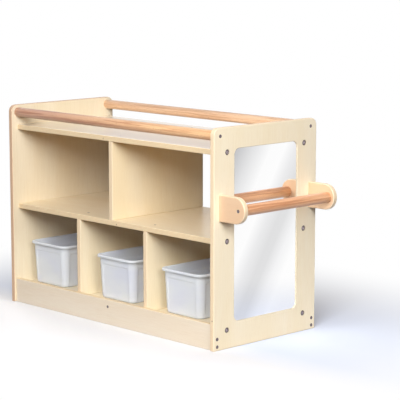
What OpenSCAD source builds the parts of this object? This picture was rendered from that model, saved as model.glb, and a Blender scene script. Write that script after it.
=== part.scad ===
// Low open shelf for a playroom: birch plywood sides and boards, beech rails round the top,
// a mirror let into the right side with a pull-up bar in front of it, and three loose bins.
// X runs along the length, the open front faces -Y, and Z is up. The origin is on the floor,
// in the middle of the whole outline, bar brackets included.

/* [Overall] */
// Length over the two side panels
length = 880; // [760:5:1000]
// Depth of the side panels, front to back
depth = 400; // [370:5:460]
// Height of the side panels
height = 600; // [540:5:680]

/* [Boards] */
// Thickness of the side panels
panel_t = 15; // [12:0.5:20]
// Thickness of the top board and the shelves
shelf_t = 15; // [14:0.5:20]
// Thickness of the upright dividers
divider_t = 15; // [12:0.5:20]
// Radius of the side panels' top corners
corner_r = 20; // [5:1:40]
// How far shelves and dividers stand back from the panels' front and back edges
setback = 21; // [19:0.5:30]

/* [Levels] */
// Depth of the top board's upper face below the panels' top
top_drop = 59; // [50:1:80]
// Height of the middle shelf's upper face
middle_z = 301; // [270:1:360]
// Height of the bottom shelf's upper face
bottom_z = 59; // [50:1:64]

/* [Kick boards] */
// Height of the kick boards
kick_h = 72; // [66:1:80]
// Thickness of the kick boards
kick_t = 15; // [12:0.5:18]

/* [Top rails] */
// Diameter of the round rails along the top
rail_d = 28; // [22:1:34]
// Distance of a rail's axis from the panels' front or back edge
rail_inset = 24; // [20:1:40]
// Distance of a rail's axis below the panels' top
rail_drop = 22; // [18:1:26]

/* [Mirror] */
// Width of the window in the right panel
window_w = 246; // [200:2:270]
// Height of the panel left above the window
window_top = 59; // [50:1:200]
// Height of the window's lower edge above the floor
window_z = 71; // [70:1:100]
// Radius of the window's corners
window_r = 18; // [6:1:40]
// Depth of the mirror's face behind the panel's outer face
mirror_recess = 3; // [2:0.5:7]
// Thickness of the acrylic mirror
mirror_t = 2.5; // [2:0.5:4]
// How far the rebate behind the window reaches past its edge
rebate_w = 10; // [5:1:10]
// Clearance round the mirror and its backing in the rebate
mirror_gap = 0.5; // [0.2:0.1:1.5]

/* [Pull-up bar] */
// Diameter of the bar
bar_d = 30; // [24:1:36]
// Distance of the bar's axis from the right panel's outer face
bar_reach = 72; // [60:1:74]
// Height of the bar's axis
bar_z = 387; // [340:1:420]
// Length of a bracket, out from the panel
bracket_l = 96; // [92:1:120]
// Height of a bracket
bracket_h = 72; // [60:1:90]
// Thickness of a bracket
bracket_t = 15; // [12:0.5:20]
// Distance of a bracket's outer face from the panel's front or back edge
bracket_inset = 18; // [6:1:24]

/* [Bins] */
// Width of a bin over its rim
bin_w = 168; // [140:1:175]
// Length of a bin over its rim, front to back
bin_l = 280; // [200:5:310]
// Height of a bin
bin_h = 127; // [100:1:135]
// Corner radius of the rim
bin_r = 24; // [16:1:30]
// Wall thickness of a bin
bin_wall = 2.2; // [1.6:0.1:3.5]
// How far each wall leans in from the rim to the floor
bin_draft = 6; // [3:0.5:10]
// How far the rim stands out past the walls
rim_w = 6; // [5:0.5:9]
// Thickness of the rim
rim_t = 2.4; // [1.8:0.1:4]
// Height of the rim's turned-down lip
rim_h = 7; // [5:0.5:12]
// Drop from the rim's top to the shoulder over the set-in panels
shoulder_drop = 24; // [14:1:40]
// How far the panels below the shoulder are set in
shoulder_w = 1.5; // [0.5:0.1:2]
// Width of the full corners beside those panels, from the rim's edge
pilaster_w = 28; // [27:1:40]
// Diameter of the hole in each corner of the rim
rim_hole_d = 4.5; // [3:0.5:6]
// Distance of the bins' rims from the panels' front edge
bin_setback = 45; // [40:1:50]
// Distance of the left bin from the wall on its left
bin_gap_left = 16; // [5:1:95]
// Distance of the middle bin from the wall on its left
bin_gap_middle = 33; // [5:1:95]
// Distance of the right bin from the wall on its left
bin_gap_right = 22; // [5:1:95]
// Air between a bin and the shelf that it stands on
bin_air = 0.3; // [0.2:0.1:0.5]

/* [Shelf bolts] */
// Diameter of a shelf bolt's shank
bolt_d = 6; // [5:0.5:7]
// Length of a shelf bolt's shank
bolt_l = 45; // [40:1:60]
// Diameter of a shelf bolt's head
bolt_head_d = 15; // [9:0.5:16]
// Thickness of a shelf bolt's head
bolt_head_h = 3; // [2:0.5:4]
// Depth of the counterbore that a shelf bolt's head sits in
bolt_sink = 4; // [3:0.5:6]
// Width across the flats of a shelf bolt's socket
bolt_socket = 4; // [3:0.5:5]
// Distance of the shelf bolts from the panels' front or back edge
bolt_inset = 50; // [42:1:54]
// Diameter of a barrel nut
nut_d = 10; // [9:0.5:12]
// Distance of a barrel nut's axis from the end of its shelf
nut_inset = 22; // [14:1:26]
// Wood left above a barrel nut
nut_skin = 1.5; // [1:0.5:3]

/* [Screws] */
// Diameter of the long screws in rails, kick boards and bar
screw_d = 5; // [4:0.5:6]
// Length of the long screws
screw_l = 50; // [40:1:60]
// Head diameter of the long screws
screw_head_d = 9.5; // [8:0.5:11]
// Width across the flats of the long screws' sockets
screw_socket = 3; // [2.5:0.5:4]
// Diameter of the wood screws in dividers and brackets
wood_screw_d = 4; // [3:0.5:5]
// Length of the wood screws
wood_screw_l = 40; // [32:1:45]
// Head diameter of the wood screws
wood_head_d = 8; // [6.5:0.5:9]
// Width across the flats of the wood screws' sockets
wood_socket = 2.5; // [2:0.5:3]
// Height of the lower screw in a kick board's end
kick_screw_low = 11; // [8:1:14]
// Height of the upper screw in a kick board's end
kick_screw_high = 32; // [26:1:36]
// Distance of the divider screws from the panels' front or back edge
divider_screw_inset = 60; // [50:1:90]
// Half the spacing of the two screws behind each bracket
bracket_screw_spread = 20; // [14:1:24]
// Clearance round shanks, heads and nuts
fit = 0.1; // [0.05:0.05:0.3]

/* [Hidden] */
$fn = 48;
// Overrun that keeps cuts clear of the faces they open
eps = 1;
inner_l = length - 2 * panel_t;
top_z = height - top_drop;
window_h = height - window_top - window_z;
cubby_w = (inner_l - 2 * divider_t) / 3;
upper_divider_x = (length - divider_t) / 2;
lower_divider_xs = [panel_t + cubby_w, panel_t + 2 * cubby_w + divider_t];
board_d = depth - 2 * setback;
kick_y = setback - kick_t;
rail_z = height - rail_drop;
window_y = (depth - window_w) / 2;
backing_t = panel_t - mirror_recess - mirror_t;
bar_l = depth - 2 * (bracket_inset + bracket_t);
// Depth of the sockets in screw and bolt heads
socket_h = 2;
// A screw's tip tapers to this diameter
tip_d = 1;
// Room past the end of a bolt or screw
tip_room = 1;
nut_l = shelf_t - 2 * nut_skin;
// Levels of the bolts' axes, at the middle of each board
bolt_zs = [top_z - shelf_t / 2, middle_z - shelf_t / 2, bottom_z - shelf_t / 2];
bolt_ys = [bolt_inset, depth - bolt_inset];
rail_ys = [rail_inset, depth - rail_inset];
kick_ys = [kick_y, depth - kick_y - kick_t];
kick_screw_zs = [kick_screw_low, kick_screw_high];
divider_screw_ys = [divider_screw_inset, depth - divider_screw_inset];
bracket_ys = [bracket_inset, depth - bracket_inset - bracket_t];
bracket_screw_zs = [bar_z - bracket_screw_spread, bar_z + bracket_screw_spread];
// Insets of the bin's walls from the rim: at the shoulder, and at the set-in panels' foot
step_in = rim_w + bin_draft * shoulder_drop / bin_h;
floor_in = rim_w + bin_draft + shoulder_w;
// Corner radius of the bin's plan at an inset
function plan_r(inset) = bin_r - inset / 2;
// Where a corner of the plan crosses its diagonal, at an inset
function corner_at(inset) = inset + plan_r(inset) * (1 - cos(45));
// The rim's corner holes lie midway between the rim's edge and the mouth
rim_hole_at = (corner_at(0) + corner_at(rim_w + bin_wall)) / 2;
// Thickness of the slabs that the bins' walls run between
slab = 0.01;
bin_xs = [
    panel_t + bin_gap_left,
    lower_divider_xs[0] + divider_t + bin_gap_middle,
    lower_divider_xs[1] + divider_t + bin_gap_right
];

panel_wood = "#f0e1c4";
board_wood = "#ead6b2";
rail_wood = "#dfae84";
bracket_wood = "#edd0ac";
bin_plastic = "#dedfe3";
steel = "#6f6a68";
silver = "#dfe3e6";

// Moves a piece from the corner of the left panel to the origin on the floor
module place() {
    translate([-(length + bracket_l) / 2, -depth / 2, 0]) children();
}

// Stands a flat outline up in the plane across the length, thickness towards +X
module stand_up(thickness) {
    rotate([90, 0, 90]) linear_extrude(thickness) children();
}

// Something driven into the left panel at a depth and a height, along +X
module from_left(y, z) {
    translate([0, y, z]) rotate([0, 90, 0]) children();
}

// Something driven into the right panel, along -X
module from_right(y, z) {
    translate([length, y, z]) rotate([0, -90, 0]) children();
}

// Rounded rectangle with its lower left corner at the origin
module rounded(w, h, r) {
    translate([r, 0]) square([w - 2 * r, h]);
    translate([0, r]) square([w, h - 2 * r]);
    for (x = [r, w - r], y = [r, h - r])
        translate([x, y]) circle(r);
}

module panel_outline() {
    square([depth, height - corner_r]);
    translate([corner_r, height - 2 * corner_r]) square([depth - 2 * corner_r, 2 * corner_r]);
    for (y = [corner_r, depth - corner_r])
        translate([y, height - corner_r]) circle(corner_r);
}

// A bolt with its head sunk below the face at z = 0
module shelf_bolt() {
    difference() {
        union() {
            translate([0, 0, bolt_sink - bolt_head_h]) cylinder(d = bolt_head_d, h = bolt_head_h);
            translate([0, 0, bolt_sink - eps]) cylinder(d = bolt_d, h = bolt_l + eps);
        }
        translate([0, 0, bolt_sink - bolt_head_h - eps])
            hex_socket(bolt_socket, socket_h + eps);
    }
}

module shelf_bolt_bore() {
    translate([0, 0, -eps]) cylinder(d = bolt_head_d + 2 * fit, h = bolt_sink + eps);
    cylinder(d = bolt_d + 2 * fit, h = bolt_sink + bolt_l + tip_room);
}

module hex_socket(across, deep) {
    cylinder(d = across / cos(30), h = deep, $fn = 6);
}

// A countersunk screw, flush with the face at z = 0, its head a cone at 45 degrees
module screw(d, head_d, l, socket) {
    cone = (head_d - d) / 2;
    difference() {
        union() {
            cylinder(d1 = head_d, d2 = d, h = cone);
            cylinder(d = d, h = l - d);
            translate([0, 0, l - d]) cylinder(d1 = d, d2 = tip_d, h = d);
        }
        translate([0, 0, -eps]) hex_socket(socket, socket_h + eps);
    }
}

module screw_bore(d, head_d, l) {
    cone = (head_d - d) / 2;
    cylinder(d1 = head_d, d2 = d, h = cone);
    translate([0, 0, -eps]) cylinder(d = head_d, h = eps);
    cylinder(d = d + 2 * fit, h = l + tip_room);
}

module long_screw() {
    screw(screw_d, screw_head_d, screw_l, screw_socket);
}

module long_screw_bore() {
    screw_bore(screw_d, screw_head_d, screw_l);
}

module wood_screw() {
    screw(wood_screw_d, wood_head_d, wood_screw_l, wood_socket);
}

module wood_screw_bore() {
    screw_bore(wood_screw_d, wood_head_d, wood_screw_l);
}

// The places of each group of fasteners; the child is one fastener or its bore
module at_shelf_bolts_left() {
    for (y = bolt_ys, z = bolt_zs) from_left(y, z) children();
}

module at_shelf_bolts_right() {
    for (y = bolt_ys, z = bolt_zs) from_right(y, z) children();
}

module at_rail_screws() {
    for (y = rail_ys) {
        from_left(y, rail_z) children();
        from_right(y, rail_z) children();
    }
}

module at_kick_end_screws_left() {
    for (y = kick_ys, z = kick_screw_zs) from_left(y + kick_t / 2, z) children();
}

module at_kick_end_screws_right() {
    for (y = kick_ys, z = kick_screw_zs) from_right(y + kick_t / 2, z) children();
}

// One screw through the middle of each kick board into the bottom shelf's edge
module at_kick_face_screws() {
    z = bottom_z - shelf_t / 2;
    translate([length / 2, kick_y, z]) rotate([-90, 0, 0]) children();
    translate([length / 2, depth - kick_y, z]) rotate([90, 0, 0]) children();
}

module at_top_board_screws() {
    for (y = divider_screw_ys)
        translate([upper_divider_x + divider_t / 2, y, top_z]) rotate([180, 0, 0]) children();
}

module at_upper_divider_screws() {
    for (y = divider_screw_ys)
        translate([upper_divider_x + divider_t / 2, y, middle_z - shelf_t]) children();
}

module at_middle_shelf_screws() {
    for (x = lower_divider_xs, y = divider_screw_ys)
        translate([x + divider_t / 2, y, middle_z]) rotate([180, 0, 0]) children();
}

module at_bottom_shelf_screws() {
    for (x = lower_divider_xs, y = divider_screw_ys)
        translate([x + divider_t / 2, y, bottom_z - shelf_t]) children();
}

module at_bar_screws() {
    x = length + bar_reach;
    translate([x, bracket_inset, bar_z]) rotate([-90, 0, 0]) children();
    translate([x, depth - bracket_inset, bar_z]) rotate([90, 0, 0]) children();
}

// Driven from inside the right panel, outwards into the brackets
module at_bracket_screws() {
    for (y = bracket_ys, z = bracket_screw_zs)
        translate([length - panel_t, y + bracket_t / 2, z]) rotate([0, 90, 0]) children();
}

module barrel_nut() {
    difference() {
        cylinder(d = nut_d, h = nut_l);
        translate([-nut_d, 0, nut_l / 2]) rotate([0, 90, 0])
            cylinder(d = bolt_d + 2 * fit, h = 2 * nut_d);
    }
}

// The places of the barrel nuts' lower ends along one side
module at_barrel_nuts(x) {
    for (y = bolt_ys, z = bolt_zs) translate([x, y, z - nut_l / 2]) children();
}

// The blind bore under a barrel nut, open at the underside of its board
module nut_bore() {
    translate([0, 0, -nut_skin - eps]) cylinder(d = nut_d + 2 * fit, h = nut_l + nut_skin + eps);
}

module board_bores() {
    at_shelf_bolts_left() shelf_bolt_bore();
    at_shelf_bolts_right() shelf_bolt_bore();
    for (x = [panel_t + nut_inset, length - panel_t - nut_inset])
        at_barrel_nuts(x) nut_bore();
}

module board(z) {
    translate([panel_t, setback, z - shelf_t]) cube([inner_l, board_d, shelf_t]);
}

module divider(x, low, high) {
    translate([x, setback, low]) cube([divider_t, board_d, high - low]);
}

module window_shape(margin) {
    translate([window_y - margin, window_z - margin])
        rounded(window_w + 2 * margin, window_h + 2 * margin, window_r + margin);
}

module left_panel() {
    color(panel_wood) place() difference() {
        stand_up(panel_t) panel_outline();
        at_shelf_bolts_left() shelf_bolt_bore();
        at_rail_screws() long_screw_bore();
        at_kick_end_screws_left() long_screw_bore();
    }
}

module right_panel() {
    color(panel_wood) place() difference() {
        translate([length - panel_t, 0, 0]) stand_up(panel_t) panel_outline();
        translate([length - panel_t - eps, 0, 0])
            stand_up(panel_t + 2 * eps) window_shape(0);
        translate([length - panel_t - eps, 0, 0])
            stand_up(backing_t + mirror_t + eps) window_shape(rebate_w);
        at_shelf_bolts_right() shelf_bolt_bore();
        at_rail_screws() long_screw_bore();
        at_kick_end_screws_right() long_screw_bore();
        at_bracket_screws() wood_screw_bore();
    }
}

module mirror_sheet() {
    color(silver) place() translate([length - mirror_recess - mirror_t, 0, 0])
        stand_up(mirror_t) window_shape(rebate_w - mirror_gap);
}

module mirror_backing() {
    color(board_wood) place() translate([length - panel_t, 0, 0])
        stand_up(backing_t) window_shape(rebate_w - mirror_gap);
}

module top_board() {
    color(board_wood) place() difference() {
        board(top_z);
        board_bores();
        at_top_board_screws() wood_screw_bore();
    }
}

module middle_shelf() {
    color(board_wood) place() difference() {
        board(middle_z);
        board_bores();
        at_middle_shelf_screws() wood_screw_bore();
        at_upper_divider_screws() wood_screw_bore();
    }
}

module bottom_shelf() {
    color(board_wood) place() difference() {
        board(bottom_z);
        board_bores();
        at_bottom_shelf_screws() wood_screw_bore();
        at_kick_face_screws() wood_screw_bore();
    }
}

module upper_divider() {
    color(board_wood) place() difference() {
        divider(upper_divider_x, middle_z, top_z - shelf_t);
        at_top_board_screws() wood_screw_bore();
        at_upper_divider_screws() wood_screw_bore();
    }
}

module lower_divider(x) {
    color(board_wood) place() difference() {
        divider(x, bottom_z, middle_z - shelf_t);
        at_middle_shelf_screws() wood_screw_bore();
        at_bottom_shelf_screws() wood_screw_bore();
    }
}

module kick_board(y) {
    color(board_wood) place() difference() {
        translate([panel_t, y, 0]) cube([inner_l, kick_t, kick_h]);
        at_kick_end_screws_left() long_screw_bore();
        at_kick_end_screws_right() long_screw_bore();
        at_kick_face_screws() wood_screw_bore();
    }
}

module top_rail(y) {
    color(rail_wood) place() difference() {
        translate([panel_t, y, rail_z]) rotate([0, 90, 0]) cylinder(d = rail_d, h = inner_l);
        at_rail_screws() long_screw_bore();
    }
}

module pull_up_bar() {
    color(rail_wood) place() difference() {
        translate([length + bar_reach, bracket_inset + bracket_t, bar_z])
            rotate([-90, 0, 0]) cylinder(d = bar_d, h = bar_l);
        at_bar_screws() long_screw_bore();
    }
}

// A plate that stands out from the panel and ends in a half circle
module bar_bracket(y) {
    end_r = bracket_h / 2;
    color(bracket_wood) place() difference() {
        translate([length, y + bracket_t, bar_z]) rotate([90, 0, 0]) linear_extrude(bracket_t) {
            translate([0, -end_r]) square([bracket_l - end_r, bracket_h]);
            translate([bracket_l - end_r, 0]) circle(end_r);
        }
        at_bar_screws() long_screw_bore();
        at_bracket_screws() wood_screw_bore();
    }
}

// A thin slab of the bin's plan, drawn in from the rim by an inset all round
module bin_slice(inset, z, thick) {
    translate([inset, inset, z])
        linear_extrude(thick)
            rounded(bin_w - 2 * inset, bin_l - 2 * inset, plan_r(inset));
}

// A stretch of the bin's leaning walls between two insets and two heights
module bin_walls(low_inset, low_z, high_inset, high_z) {
    hull() {
        bin_slice(low_inset, low_z, slab);
        bin_slice(high_inset, high_z - slab, slab);
    }
}

module corner_posts(size) {
    for (x = [0, bin_w - size], y = [0, bin_l - size])
        translate([x, y, 0]) cube([size, size, bin_h]);
}

// The form of the walls at a depth under their outer face: a band under the rim,
// set-in panels below it, and full corners beside those
module bin_form(under, floor_z, mouth_z) {
    step_z = bin_h - shoulder_drop + under;
    bin_walls(floor_in + under, floor_z, step_in + shoulder_w + under, step_z);
    bin_walls(step_in + under, step_z, rim_w + under, mouth_z);
    intersection() {
        bin_walls(floor_in - shoulder_w + under, floor_z, step_in + under, step_z);
        corner_posts(pilaster_w - under);
    }
}

// One bin with its rim's lower left corner at the origin
module bin_shape() {
    difference() {
        union() {
            bin_form(0, 0, bin_h);
            difference() {
                bin_slice(0, bin_h - rim_h, rim_h);
                bin_slice(rim_t, bin_h - rim_h - eps, rim_h - rim_t + eps);
            }
        }
        bin_form(bin_wall, bin_wall, bin_h + eps);
        for (x = [rim_hole_at, bin_w - rim_hole_at], y = [rim_hole_at, bin_l - rim_hole_at])
            translate([x, y, bin_h - rim_t - eps]) cylinder(d = rim_hole_d, h = rim_t + 2 * eps);
    }
}

module bin(i) {
    color(bin_plastic) place()
        translate([bin_xs[i], bin_setback, bottom_z + bin_air]) bin_shape();
}

left_panel();
right_panel();
mirror_sheet();  // mirror
mirror_backing();
top_board();
middle_shelf();
bottom_shelf();
upper_divider();
lower_divider(lower_divider_xs[0]);  // lower_divider_left
lower_divider(lower_divider_xs[1]);  // lower_divider_right
kick_board(kick_ys[0]);  // kick_board_front
kick_board(kick_ys[1]);  // kick_board_rear
top_rail(rail_ys[0]);  // top_rail_front
top_rail(rail_ys[1]);  // top_rail_rear
pull_up_bar();
bar_bracket(bracket_ys[0]);  // bar_bracket_front
bar_bracket(bracket_ys[1]);  // bar_bracket_rear
bin(0);  // bin_left
bin(1);  // bin_middle
bin(2);  // bin_right
color(steel) place() at_shelf_bolts_left() shelf_bolt();  // shelf_bolts_left
color(steel) place() at_shelf_bolts_right() shelf_bolt();  // shelf_bolts_right
color(steel) place() at_barrel_nuts(panel_t + nut_inset) barrel_nut();  // barrel_nuts_left
color(steel) place() at_barrel_nuts(length - panel_t - nut_inset) barrel_nut();  // barrel_nuts_right
color(steel) place() at_rail_screws() long_screw();  // rail_screws
color(steel) place() at_kick_end_screws_left() long_screw();  // kick_end_screws_left
color(steel) place() at_kick_end_screws_right() long_screw();  // kick_end_screws_right
color(steel) place() at_kick_face_screws() wood_screw();  // kick_face_screws
color(steel) place() at_top_board_screws() wood_screw();  // top_board_screws
color(steel) place() at_middle_shelf_screws() wood_screw();  // middle_shelf_screws
color(steel) place() at_upper_divider_screws() wood_screw();  // upper_divider_screws
color(steel) place() at_bottom_shelf_screws() wood_screw();  // bottom_shelf_screws
color(steel) place() at_bar_screws() long_screw();  // bar_screws
color(steel) place() at_bracket_screws() wood_screw();  // bracket_screws
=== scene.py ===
"""Looks of a low open shelf for a playroom: lacquered birch plywood with beech rails, a mirror let into
the right side behind a pull-up bar, and three moulded bins. Metres, with +X towards the mirror, -Y out
of the open front and +Z up."""

import math

import bmesh
import bpy
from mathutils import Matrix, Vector
from mathutils.geometry import delaunay_2d_cdt


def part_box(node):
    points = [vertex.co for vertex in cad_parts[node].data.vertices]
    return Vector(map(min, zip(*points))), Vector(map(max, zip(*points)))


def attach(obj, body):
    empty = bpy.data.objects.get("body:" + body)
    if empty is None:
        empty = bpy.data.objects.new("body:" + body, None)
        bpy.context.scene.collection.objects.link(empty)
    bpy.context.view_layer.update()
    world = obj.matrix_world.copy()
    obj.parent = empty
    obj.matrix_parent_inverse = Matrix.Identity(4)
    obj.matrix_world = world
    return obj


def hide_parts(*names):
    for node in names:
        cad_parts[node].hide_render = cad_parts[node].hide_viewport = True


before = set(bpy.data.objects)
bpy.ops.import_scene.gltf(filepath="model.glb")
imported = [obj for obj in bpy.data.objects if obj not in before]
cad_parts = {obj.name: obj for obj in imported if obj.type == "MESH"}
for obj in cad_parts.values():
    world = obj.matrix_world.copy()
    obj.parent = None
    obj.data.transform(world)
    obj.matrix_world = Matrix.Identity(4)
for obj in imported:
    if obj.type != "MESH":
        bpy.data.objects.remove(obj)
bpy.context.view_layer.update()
MM = 0.001

# Camera, fitted to the photograph's lines
PICTURE_PX = 400
FOCAL_PX = 1644.0
SENSOR_MM = 36.0
CAMERA_AT = (3.4462, -3.1914, 1.0860)
CAMERA_AZIMUTH = math.radians(46.084)
CAMERA_DOWN = math.radians(8.968)

# Plywood
PANEL_CORNER = 20 * MM
FOOT_CORNER = 2 * MM
PANEL_EASE = 2.4 * MM
BOARD_EASE = 1.8 * MM
BRACKET_EASE = 3.0 * MM
BACKING_EASE = 0.6 * MM
# A corner that is meant to be square still has this much round
SQUARE = 0.05 * MM
WINDOW_CORNER = 18 * MM
WINDOW_EASE = 1.2 * MM
REBATE = 10 * MM
MIRROR_GAP = 0.5 * MM
HOLE_LIP = 0.3 * MM
BOLT_HOLE_LIP = 0.4 * MM
SMALL_HOLE_R = 10 * MM
EASE_STEPS = 6
CORNER_STEPS = 12
HOLE_STEPS = 8
PLIES = 9
# Metres of veneer or rod between the stretches that two pieces are cut from
VENEER_STEP = 1.37
ROD_STEP = 0.61

# Pin knots. Noise of up to KNOT_RAGGED is added to the distance from the centre, and the dark core and
# its halo end where the sum reaches these values
KNOT_RAGGED = 3.2 * MM
KNOT_CORE = 2.2 * MM
KNOT_HALO = 4.2 * MM
KNOT_BROWN = "#6e4a33"
# Where the boards' front edges show one: along the edge, and in from the panel's face or below the middle
PANEL_KNOT_Z = 83 * MM
PANEL_KNOT_IN = 6 * MM
TOP_KNOT_X = -78 * MM
TOP_KNOT_DOWN = 1 * MM
SHELF_KNOT_X = -24 * MM
SHELF_KNOT_DOWN = 2 * MM
# A board without a knot has it this far off
NO_KNOT = (9.0, 9.0, 9.0)

# Rails and bar
ROD_EASE = 0.8 * MM
ROD_STATIONS = 24
ROD_SIDES = 64
# The front rail's wood turns pinker and darker from the first of these places to the second: partly its own
# pink tone and partly painted shade where the light falls off towards its left end
PINK_AND_SHADE_STARTS_X = 200 * MM
PINK_AND_SHADE_FULL_X = -350 * MM
PINK_AND_SHADE_WOOD = "#cd9d87"
PINK_AND_SHADE_STREAK = "#a9735c"
BEECH_FLECK = "#8a5a3a"

# Slant of the grey sweeps of painted reflection in the mirror's colour, and how far they spread across it
PAINTED_REFLECTION_TILT = math.radians(32)
PAINTED_REFLECTION_SPAN = 400 * MM

# Fasteners
BOLT_HEAD_R = 7.5 * MM
BOLT_HEAD_H = 3 * MM
BOLT_SINK = 4 * MM
BOLT_R = 3 * MM
BOLT_SOCKET = 4 * MM
NUT_R = 5 * MM
NUT_H = 12 * MM
LONG_HEAD_R = 4.75 * MM
LONG_R = 2.5 * MM
LONG_SOCKET = 3 * MM
LONG_L = 50 * MM
WOOD_HEAD_R = 4 * MM
WOOD_R = 2 * MM
WOOD_SOCKET = 2.5 * MM
WOOD_L = 40 * MM
SOCKET_DEPTH = 2 * MM
FIT = 0.1 * MM
NUT_INSET = 22 * MM
FASTENER_SIDES = 36

# Bins
BIN_CORNER = 24 * MM
BIN_WALL = 2.2 * MM
BIN_DRAFT = 6 * MM
RIM_W = 6 * MM
RIM_T = 2.4 * MM
RIM_H = 7 * MM
SHOULDER_DROP = 24 * MM
SHOULDER_IN = 1.3 * MM
SHOULDER_SLOPE = 3.6 * MM
PILASTER_W = 28 * MM
PANEL_CORNER_R = 7 * MM
BIN_FILLET = 6 * MM
RIM_ROLL = 2.6 * MM
RIM_MOUTH = 1.8 * MM
RIM_HOLE_R = 2.25 * MM
RIM_HOLE_SIDES = 24
# Points lie close together beside a corner, and loops round the shoulder, to draw the set-in panels
CLOSE_POINT, CLOSE_POINTS = 0.8 * MM, 15
CLOSE_LOOP, CLOSE_LOOPS = 0.6 * MM, 20
CLOSE_DROP = 10 * MM
# Share of the light on a bin's wall that comes out on its other side
WALL_GLOW = 0.3
BIN_BODIES = {"bin_left": "left_bin", "bin_middle": "middle_bin", "bin_right": "right_bin"}

# Studio
LAMP_SIDE = 1.2
LAMPS_AIM = (0.0, 0.0, 0.3)
FLOOR_R = 9.0
# What the surroundings throw on the object: a dim warm room behind the lamps
AMBIENT = "#45280a"
# Name, place and watts of each square lamp
LAMPS = (
    ("key_softbox", (1.8, -2.4, 1.9), 72.5),
    ("side_softbox", (3.0, -1.1, 1.5), 47.0),
    ("low_softbox", (0.2, -3.2, 1.1), 12.0),
    ("high_softbox", (1.3, -1.9, 2.9), 29.0),
    ("left_softbox", (-3.3, 0.7, 1.3), 30.0),
    ("rear_softbox", (-0.9, 3.2, 1.8), 22.0),
)
# The floor's shade fades to white this far from the object's footprint, under a painted white glow
SHADE_REACH = 0.76
# How much painted glow the floor is seen with on top of its lit colour: well before the open side, at its
# foot, where less glow leaves a painted shade, beside it, and behind
OPEN_LIFT, FOOT_LIFT, SIDE_LIFT, REAR_LIFT = 0.31, 0.145, 0.05, 0.11
# The painted shade before the open side, where the glow falls from OPEN_LIFT to FOOT_LIFT, reaches to
# NARROW_Y at the left end and widens along X to WIDE_Y
WIDENS_X = (-0.49, -0.1)
NARROW_Y, WIDE_Y = -0.24, -0.42
# Stretches along Y where the floor before the foot turns to the floor beside it, and that to the one behind
PAST_FOOT_Y = (-0.2, -0.08)
PAST_SIDE_Y = (-0.06, 0.08)
# Stretch along X + Y beyond the mirror where the tone that the floor throws back is painted lighter, as if
# the floor came out of the object's shade there
MIRROR_SIDE_XY = (0.3, 0.8)


def middle(node_name, axis):
    """The middle of a node's box along an axis."""
    low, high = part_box(node_name)
    return (low[axis] + high[axis]) / 2


def two_ends(node_name, axis, inset):
    """The places at an inset from both ends of a node's box."""
    low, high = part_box(node_name)
    return low[axis] + inset, high[axis] - inset


# Sizes and places from the frame
PANEL_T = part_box("left_panel")[1].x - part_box("left_panel")[0].x
LEFT_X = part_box("left_panel")[0].x
RIGHT_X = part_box("right_panel")[1].x
BOARD_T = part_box("top_board")[1].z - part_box("top_board")[0].z
BOLT_YS = two_ends("shelf_bolts_right", 1, BOLT_HEAD_R)
BOLT_ZS = [middle(board, 2) for board in ("bottom_shelf", "middle_shelf", "top_board")]
RAIL_YS = two_ends("rail_screws", 1, LONG_HEAD_R)
RAIL_Z = middle("rail_screws", 2)
KICK_YS = two_ends("kick_end_screws_right", 1, LONG_HEAD_R)
KICK_ZS = two_ends("kick_end_screws_right", 2, LONG_HEAD_R)
DIVIDER_YS = two_ends("top_board_screws", 1, WOOD_HEAD_R)
FRONT_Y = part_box("top_board")[0].y
FOOT_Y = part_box("left_panel")[0].y
UPPER_X = middle("upper_divider", 0)
LOWER_XS = [middle("lower_divider_left", 0), middle("lower_divider_right", 0)]
NUT_XS = [LEFT_X + PANEL_T + NUT_INSET, RIGHT_X - PANEL_T - NUT_INSET]
BRACKET_YS = [middle("bar_bracket_front", 1), middle("bar_bracket_rear", 1)]
BRACKET_ZS = two_ends("bracket_screws", 2, WOOD_HEAD_R)
BAR_X = middle("pull_up_bar", 0)
BAR_Z = middle("pull_up_bar", 2)
KICK_SCREW_Z = middle("kick_face_screws", 2)
KICK_SCREW_X = middle("kick_face_screws", 0)
BOLT_SPOTS = [(y, z) for y in BOLT_YS for z in BOLT_ZS]
KICK_SPOTS = [(y, z) for y in KICK_YS for z in KICK_ZS]
BRACKET_SPOTS = [(y, z) for y in BRACKET_YS for z in BRACKET_ZS]
LOWER_SPOTS = [(x, y) for x in LOWER_XS for y in DIVIDER_YS]
BIN_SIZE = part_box("bin_left")[1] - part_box("bin_left")[0]
SHOULDER_Z = BIN_SIZE.z - SHOULDER_DROP


def linear(code):
    """The linear colour of an sRGB hex code."""
    parts = [int(code[k : k + 2], 16) / 255 for k in (1, 3, 5)]
    return tuple(c / 12.92 if c <= 0.04045 else ((c + 0.055) / 1.055) ** 2.4 for c in parts) + (1.0,)


def node(tree, kind, inputs=None, stops=(), **settings):
    """Adds a node with its settings and links. An input, by its name or its number, takes a value, a hex
    colour, or the node or socket that feeds it; stops are a ramp's places with their hex colours."""
    made = tree.nodes.new(kind)
    for name, value in settings.items():
        setattr(made, name, value)
    for name, value in (inputs or {}).items():
        live = [socket for socket in made.inputs if socket.enabled]
        socket = live[name] if isinstance(name, int) else next(s for s in live if s.name == name)
        if isinstance(value, bpy.types.Node):
            value = next(s for s in value.outputs if s.enabled)
        if isinstance(value, bpy.types.NodeSocket):
            tree.links.new(value, socket)
        elif isinstance(value, str) and value.startswith("#"):
            socket.default_value = linear(value)
        else:
            socket.default_value = value
    for _ in stops[2:]:
        made.color_ramp.elements.new(0.5)
    for k, (place, colour) in enumerate(stops):
        made.color_ramp.elements[k].position = place
        made.color_ramp.elements[k].color = linear(colour)
    return made


def material(name):
    """An empty material and its node tree."""
    made = bpy.data.materials.new(name)
    made.use_nodes = True
    made.node_tree.nodes.clear()
    return made, made.node_tree


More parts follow.
